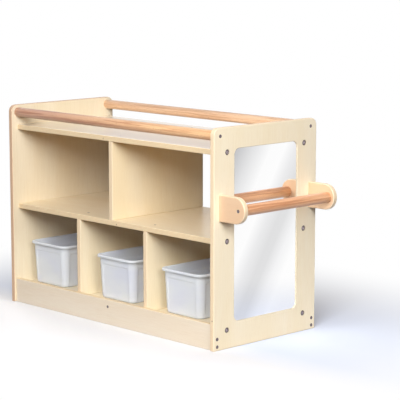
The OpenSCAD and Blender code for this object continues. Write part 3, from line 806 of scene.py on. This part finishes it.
def fastener_tree():
    """A Geometry Nodes tree that sets one fastener on each point, driven along the point's own direction
    and turned about its axis by a seeded random angle, as real ones are left."""
    tree = bpy.data.node_groups.new("set_fasteners", "GeometryNodeTree")
    face = tree.interface
    face.new_socket("Places", in_out="INPUT", socket_type="NodeSocketGeometry")
    for name, kind in (("Fastener", "NodeSocketObject"), ("Seed", "NodeSocketInt"),
                       ("Plating", "NodeSocketMaterial")):
        face.new_socket(name, in_out="INPUT", socket_type=kind)
    face.new_socket("Fasteners", in_out="OUTPUT", socket_type="NodeSocketGeometry")
    given = node(tree, "NodeGroupInput").outputs
    shape = node(tree, "GeometryNodeObjectInfo", {"Object": given["Fastener"]}).outputs["Geometry"]
    drive = node(tree, "GeometryNodeInputNamedAttribute", {"Name": "drive"}, data_type="FLOAT_VECTOR")
    aim = node(tree, "FunctionNodeAlignRotationToVector", {"Vector": drive}, axis="Z")
    chance = node(tree, "FunctionNodeRandomValue", {"Max": math.tau, "Seed": given["Seed"]},
                  data_type="FLOAT")
    spin = node(tree, "FunctionNodeAxisAngleToRotation", {"Axis": (0, 0, 1), "Angle": chance})
    turn = node(tree, "FunctionNodeRotateRotation", {"Rotation": aim, "Rotate By": spin},
                rotation_space="LOCAL")
    seated = node(tree, "GeometryNodeInstanceOnPoints", {
        "Points": given["Places"], "Instance": shape, "Rotation": turn})
    real = node(tree, "GeometryNodeRealizeInstances", {"Geometry": seated})
    plated = node(tree, "GeometryNodeSetMaterial", {"Geometry": real, "Material": given["Plating"]})
    node(tree, "NodeGroupOutput", {"Fasteners": plated})
    return tree


def fasteners():
    """Every bolt, nut and screw, one piece for each node that holds a group of them."""
    def shape_of(name, rings):
        bm = bmesh.new()
        turned(bm, rings, FASTENER_SIDES, lambda u, v, w: Vector((u, v, w)))
        made = finish_mesh(bm, name, [])
        write_vectors(made.data, "own_place", [v.co for v in made.data.vertices])
        return made

    bolt = shape_of("bolt_pattern", bolt_rings())
    nut = shape_of("nut_pattern", nut_rings())
    long_screw = shape_of("long_screw_pattern", screw_rings(LONG_HEAD_R, LONG_R, LONG_L, LONG_SOCKET))
    wood_screw = shape_of("wood_screw_pattern", screw_rings(WOOD_HEAD_R, WOOD_R, WOOD_L, WOOD_SOCKET))
    right, left, back, forth, up, down = (1, 0, 0), (-1, 0, 0), (0, 1, 0), (0, -1, 0), (0, 0, 1), (0, 0, -1)
    inner_x = RIGHT_X - PANEL_T
    tops = [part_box(board)[1].z for board in ("bottom_shelf", "middle_shelf", "top_board")]
    kick_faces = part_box("kick_board_front")[0].y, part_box("kick_board_rear")[1].y
    bracket_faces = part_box("bar_bracket_front")[0].y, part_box("bar_bracket_rear")[1].y
    groups = {
        "shelf_bolts_left": (bolt, [((LEFT_X, y, z), right) for y, z in BOLT_SPOTS]),
        "shelf_bolts_right": (bolt, [((RIGHT_X, y, z), left) for y, z in BOLT_SPOTS]),
        "barrel_nuts_left": (nut, [((NUT_XS[0], y, z + NUT_H / 2), down) for y, z in BOLT_SPOTS]),
        "barrel_nuts_right": (nut, [((NUT_XS[1], y, z + NUT_H / 2), down) for y, z in BOLT_SPOTS]),
        "rail_screws": (long_screw, [((x, y, RAIL_Z), way) for y in RAIL_YS
                                     for x, way in ((LEFT_X, right), (RIGHT_X, left))]),
        "kick_end_screws_left": (long_screw, [((LEFT_X, y, z), right) for y, z in KICK_SPOTS]),
        "kick_end_screws_right": (long_screw, [((RIGHT_X, y, z), left) for y, z in KICK_SPOTS]),
        "kick_face_screws": (wood_screw, [((KICK_SCREW_X, y, KICK_SCREW_Z), way)
                                          for y, way in zip(kick_faces, (back, forth))]),
        "top_board_screws": (wood_screw, [((UPPER_X, y, tops[2]), down) for y in DIVIDER_YS]),
        "middle_shelf_screws": (wood_screw, [((x, y, tops[1]), down) for x, y in LOWER_SPOTS]),
        "upper_divider_screws": (wood_screw, [((UPPER_X, y, tops[1] - BOARD_T), up) for y in DIVIDER_YS]),
        "bottom_shelf_screws": (wood_screw, [((x, y, tops[0] - BOARD_T), up) for x, y in LOWER_SPOTS]),
        "bar_screws": (long_screw, [((BAR_X, y, BAR_Z), way)
                                    for y, way in zip(bracket_faces, (back, forth))]),
        "bracket_screws": (wood_screw, [((inner_x, y, z), right) for y, z in BRACKET_SPOTS]),
    }
    tree = fastener_tree()
    keys = {item.name: item.identifier for item in tree.interface.items_tree if item.in_out == "INPUT"}
    for seed, (name, (pattern, places)) in enumerate(groups.items()):
        plating = {bolt: BOLT_ZINC, nut: CLEAR_ZINC}.get(pattern, SCREW_ZINC)
        slot = "zinc_nut" if pattern is nut else "dark_screw"
        mesh = bpy.data.meshes.new(name + "_places")
        mesh.from_pydata([at for at, _ in places], [], [])
        write_vectors(mesh, "drive", [way for _, way in places])
        host = bpy.data.objects.new(name + "_places", mesh)
        bpy.context.scene.collection.objects.link(host)
        setter = host.modifiers.new("set_fasteners", "NODES")
        setter.node_group = tree
        setter[keys["Fastener"]] = pattern
        setter[keys["Seed"]] = seed
        setter[keys["Plating"]] = plating
        evaluated = host.evaluated_get(bpy.context.evaluated_depsgraph_get())
        made_mesh = bpy.data.meshes.new_from_object(evaluated)
        made_mesh.name = name + "_set"
        bpy.data.objects.remove(host)
        made = bpy.data.objects.new(name + "_set", made_mesh)
        bpy.context.scene.collection.objects.link(made)
        keep(made, "shelf", slot, name)
    for pattern in (bolt, nut, long_screw, wood_screw):
        bpy.data.objects.remove(pattern)


def smooth(low, high, value):
    """0 below low, 1 above high, and a smooth step between them."""
    share = min(1.0, max(0.0, (value - low) / (high - low)))
    return share * share * (3 - 2 * share)


def panel_share(along, half, z):
    """How far a point of a bin's wall lies in the set-in panel, whose top corners are round. along is
    measured from the middle of the side."""
    right = abs(along) - (half - PANEL_CORNER_R)
    up = z - (SHOULDER_Z - PANEL_CORNER_R)
    out = math.hypot(max(right, 0), max(up, 0)) + min(max(right, up), 0) - PANEL_CORNER_R
    return smooth(0, SHOULDER_SLOPE, -out)


def bin_ring(inset, z, panels):
    """One loop round a bin at an inset from the rim's edge; panels sets its flat sides in."""
    radius = BIN_CORNER - inset / 2
    near = [k * CLOSE_POINT for k in range(1, CLOSE_POINTS + 1)]
    points = []
    halves = BIN_SIZE.x / 2, BIN_SIZE.y / 2
    for quarter, start in enumerate((-90, 0, 90, 180)):
        sx, sy = [(1, -1), (1, 1), (-1, 1), (-1, -1)][quarter]
        cx, cy = sx * (halves[0] - inset - radius), sy * (halves[1] - inset - radius)
        for step in range(CORNER_STEPS + 1):
            angle = math.radians(start + 90 * step / CORNER_STEPS)
            points.append(Vector((cx + radius * math.cos(angle), cy + radius * math.sin(angle), z)))
        axis = 1 if quarter % 2 == 0 else 0
        flat = halves[axis] - inset - radius
        coarse = [near[-1] + (flat - near[-1]) * k / 6 for k in range(1, 6)]
        stops = near + coarse
        stops = [-flat + s for s in stops] + [0.0] + [flat - s for s in stops[::-1]]
        way = [1, -1, -1, 1][quarter]
        for stop in stops:
            inner = SHOULDER_IN * panel_share(stop, halves[axis] - PILASTER_W, z) if panels else 0.0
            across = halves[1 - axis] - inset - inner
            side = [sx, sy][1 - axis]
            points.append(Vector((side * across, way * stop, z) if axis else (way * stop, side * across, z)))
    return points


def bin_rings():
    """All loops of a bin, from the edge of its outer floor, up and over the rim, to its inner floor. A loop
    is its inset from the rim's edge, its height, and True where its flat sides are set in."""
    top = BIN_SIZE.z
    foot = RIM_W + BIN_DRAFT
    fillet = BIN_FILLET

    def lean(z):
        return foot - BIN_DRAFT * z / top

    def arc(steps):
        return [math.pi / 2 * k / steps for k in range(steps + 1)]

    close = [SHOULDER_Z - CLOSE_DROP + CLOSE_LOOP * k for k in range(CLOSE_LOOPS)]
    levels = [fillet + (close[0] - fillet) * k / 6 for k in range(1, 6)] + close + [SHOULDER_Z + 6 * MM]
    rings = [(foot + fillet * (1 - math.sin(a)), fillet * (1 - math.cos(a)), False) for a in arc(6)]
    rings += [(lean(z), z, True) for z in levels]
    under, lip = top - RIM_T, top - RIM_H
    rings += [(RIM_W + 0.8 * MM, under - 1.2 * MM, False), (RIM_W + 0.2 * MM, under - 0.3 * MM, False),
              (RIM_W - 0.6 * MM, under, False), (RIM_T + 0.4 * MM, under, False),
              (RIM_T, under - 0.4 * MM, False), (RIM_T, lip + 0.3 * MM, False),
              (RIM_T - 0.3 * MM, lip, False), (0.4 * MM, lip, False), (0.1 * MM, lip + 0.3 * MM, False)]
    roll, mouth = RIM_ROLL, RIM_MOUTH
    rings += [(roll * (1 - math.cos(a)), top - roll * (1 - math.sin(a)), False) for a in arc(7)]
    inner = RIM_W + BIN_WALL
    rings += [(inner - mouth * (1 - math.sin(a)), top - mouth * (1 - math.cos(a)), False) for a in arc(5)]
    rings += [(lean(z) + BIN_WALL, z, True) for z in [SHOULDER_Z + 8 * MM] + levels[::-1]]
    rings += [(foot + BIN_WALL + fillet * (1 - math.cos(a)), BIN_WALL + fillet * (1 - math.sin(a)), False)
              for a in arc(6)]
    return rings


def bins():
    """Three moulded bins: a rolled rim with a hole in each corner, a band, and set-in panels below it."""
    shape = bin_rings()
    for name, body in BIN_BODIES.items():
        low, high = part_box(name)
        base = Vector(((low.x + high.x) / 2, (low.y + high.y) / 2, low.z))
        bm = bmesh.new()
        closed_skin(bm, [[bm.verts.new(base + p) for p in bin_ring(*ring)] for ring in shape])
        made = finish_mesh(bm, name + "_moulded", [BIN_PLASTIC], sharp=60)
        cut_rim_holes(made, base)
        keep(made, body, "bin_plastic", name)


def cut_rim_holes(piece, base):
    """Cuts the hole in each corner of a bin's rim."""
    def crossing(inset):
        return inset + (BIN_CORNER - inset / 2) * (1 - math.cos(math.pi / 4))

    at = (crossing(0) + crossing(RIM_W + BIN_WALL)) / 2
    bm = bmesh.new()
    for sx in (-1, 1):
        for sy in (-1, 1):
            centre = base + Vector((sx * (BIN_SIZE.x / 2 - at), sy * (BIN_SIZE.y / 2 - at), BIN_SIZE.z))
            turned(bm, [(RIM_HOLE_R, -2 * RIM_T, False), (RIM_HOLE_R, RIM_T, False)], RIM_HOLE_SIDES,
                   lambda u, v, w: centre + Vector((u, v, w)))
    cutter = finish_mesh(bm, "rim_hole_cutter", [BIN_PLASTIC])
    cut = piece.modifiers.new("rim_holes", "BOOLEAN")
    cut.object, cut.solver = cutter, "EXACT"
    evaluated = piece.evaluated_get(bpy.context.evaluated_depsgraph_get())
    piece.data = bpy.data.meshes.new_from_object(evaluated)
    piece.modifiers.clear()
    bpy.data.objects.remove(cutter)


def studio():
    """A white floor that keeps the shadow, white surroundings, and six soft lamps: a key by the camera,
    fills at its side, below and above it, and two that light the left end and the back."""
    scene = bpy.context.scene
    scene.view_settings.view_transform = "Standard"

    camera = bpy.data.cameras.new("camera")
    camera.sensor_width = SENSOR_MM
    camera.lens = FOCAL_PX * SENSOR_MM / PICTURE_PX
    eye = bpy.data.objects.new("camera", camera)
    eye.location = CAMERA_AT
    eye.rotation_euler = (math.pi / 2 - CAMERA_DOWN, 0, CAMERA_AZIMUTH)
    scene.collection.objects.link(eye)
    scene.camera = eye

    world = bpy.data.worlds.new("studio")
    world.use_nodes = True
    scene.world = world
    tree = world.node_tree
    tree.nodes.clear()
    ray = node(tree, "ShaderNodeLightPath").outputs
    seen = node(tree, "ShaderNodeMath", {0: ray["Is Camera Ray"], 1: ray["Is Glossy Ray"]},
                operation="MAXIMUM")
    seen = node(tree, "ShaderNodeMath", {0: seen, 1: ray["Is Transmission Ray"]}, operation="MAXIMUM")
    around = node(tree, "ShaderNodeMix", {"Factor": seen, "A": AMBIENT, "B": "#ffffff"}, data_type="RGBA")
    node(tree, "ShaderNodeOutputWorld", {"Surface": node(tree, "ShaderNodeBackground", {"Color": around})})

    bpy.ops.mesh.primitive_circle_add(vertices=96, radius=FLOOR_R, fill_type="NGON", location=(0, 0, 0))
    floor = bpy.context.object
    floor.name = "floor"
    floor.data.materials.append(floor_paint())

    for name, at, power in LAMPS:
        lamp = bpy.data.lights.new(name, "AREA")
        lamp.shape, lamp.size, lamp.energy = "SQUARE", LAMP_SIDE, power
        holder = bpy.data.objects.new(name, lamp)
        holder.location = at
        holder.rotation_euler = (Vector(LAMPS_AIM) - Vector(at)).to_track_quat("-Z", "Y").to_euler()
        scene.collection.objects.link(holder)


def floor_paint():
    """White floor paint: it takes the object's shadow, and is seen with a painted glow on top of its lit
    colour, which is lower at the foot of the open side to paint a shade there. Its seen tone is neutral
    before the open side and painted a little blue behind it, a cool tint of the shade, and a painted white
    glow fades in over its shade to the white of the surroundings. To the light that it throws back up it is a
    warm mid grey, as a floor a few metres wide is, and beyond the mirror it is painted a lighter pale blue
    grey, as if it lay out of the shade there, so that it throws painted light back on the object."""
    made, tree = material("white_floor")
    place = node(tree, "ShaderNodeTexCoord").outputs["Object"]
    foot = [Vector((x, y, 0)) for x, y, _ in (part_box("left_panel")[0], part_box("right_panel")[1])]
    half, centre = (foot[1] - foot[0]) / 2, (foot[0] + foot[1]) / 2
    from_middle = node(tree, "ShaderNodeVectorMath", {0: place, 1: centre}, operation="SUBTRACT")
    aside = node(tree, "ShaderNodeVectorMath", {0: from_middle}, operation="ABSOLUTE")
    beyond = node(tree, "ShaderNodeVectorMath", {0: aside, 1: half}, operation="SUBTRACT")
    outside = node(tree, "ShaderNodeVectorMath", {0: beyond, 1: (0, 0, 0)}, operation="MAXIMUM")
    far = node(tree, "ShaderNodeVectorMath", {0: outside}, operation="LENGTH")
    painted_white_fade = node(tree, "ShaderNodeMapRange", {"Value": far, "From Max": SHADE_REACH},
                interpolation_type="SMOOTHSTEP")
    ray = node(tree, "ShaderNodeLightPath").outputs
    seen = node(tree, "ShaderNodeMath", {0: ray["Is Camera Ray"], 1: ray["Is Glossy Ray"]},
                operation="MAXIMUM")
    # How much painted glow the floor is seen with on top of its lit colour here; it is lowered at the foot of
    # the open side to paint a shade there
    at = node(tree, "ShaderNodeSeparateXYZ", {0: place}).outputs
    shade_y = node(tree, "ShaderNodeMapRange", {
        "Value": at["X"], "From Min": WIDENS_X[0], "From Max": WIDENS_X[1],
        "To Min": NARROW_Y, "To Max": WIDE_Y})
    before = node(tree, "ShaderNodeMapRange", {
        "Value": at["Y"], "From Min": shade_y, "From Max": FOOT_Y, "To Min": OPEN_LIFT, "To Max": FOOT_LIFT})
    past_foot = node(tree, "ShaderNodeMapRange", {
        "Value": at["Y"], "From Min": PAST_FOOT_Y[0], "From Max": PAST_FOOT_Y[1]})
    beside = node(tree, "ShaderNodeMapRange", {
        "Value": at["Y"], "From Min": PAST_SIDE_Y[0], "From Max": PAST_SIDE_Y[1],
        "To Min": SIDE_LIFT, "To Max": REAR_LIFT})
    lift = node(tree, "ShaderNodeMix", {"Factor": past_foot, "A": before, "B": beside}, data_type="FLOAT")
    seen_lift = node(tree, "ShaderNodeMath", {0: seen, 1: lift}, operation="MULTIPLY")
    # Beyond the mirror the tone that the floor throws back is painted lighter: painted light on the object
    corner = node(tree, "ShaderNodeMath", {0: at["X"], 1: at["Y"]})
    painted_light_beyond_mirror = node(tree, "ShaderNodeMapRange", {
        "Value": corner, "From Min": MIRROR_SIDE_XY[0], "From Max": MIRROR_SIDE_XY[1]})
    thrown_grey_and_painted_light = node(tree, "ShaderNodeMix", {"Factor": painted_light_beyond_mirror, "A": "#b0aca6", "B": "#dde4f4"},
                  data_type="RGBA")
    # The seen tone is painted a little blue behind the foot, a cool tint of the shade there
    lit = node(tree, "ShaderNodeMix", {"Factor": past_foot, "A": "#e1e3e7", "B": "#d9e3f6"},
               data_type="RGBA")
    tone = node(tree, "ShaderNodeMix", {"Factor": seen, "A": thrown_grey_and_painted_light, "B": lit}, data_type="RGBA")
    paint = node(tree, "ShaderNodeBsdfDiffuse", {"Color": tone})
    glow = node(tree, "ShaderNodeEmission", {"Color": "#ffffff", "Strength": seen_lift})
    near = node(tree, "ShaderNodeAddShader", {0: paint, 1: glow})
    white = node(tree, "ShaderNodeEmission", {"Color": "#ffffff", "Strength": seen})
    both = node(tree, "ShaderNodeMixShader", {0: painted_white_fade, 1: near, 2: white})
    node(tree, "ShaderNodeOutputMaterial", {"Surface": both})
    return made


def mirror_sheet():
    """Dresses the mirror's own node, since a flat sheet cut square needs no other mesh."""
    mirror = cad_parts["mirror"]
    mirror.data.materials.clear()
    mirror.data.materials.append(MIRROR)


side_panels()
boards()
brackets()
rods()
fasteners()
bins()
mirror_sheet()
studio()
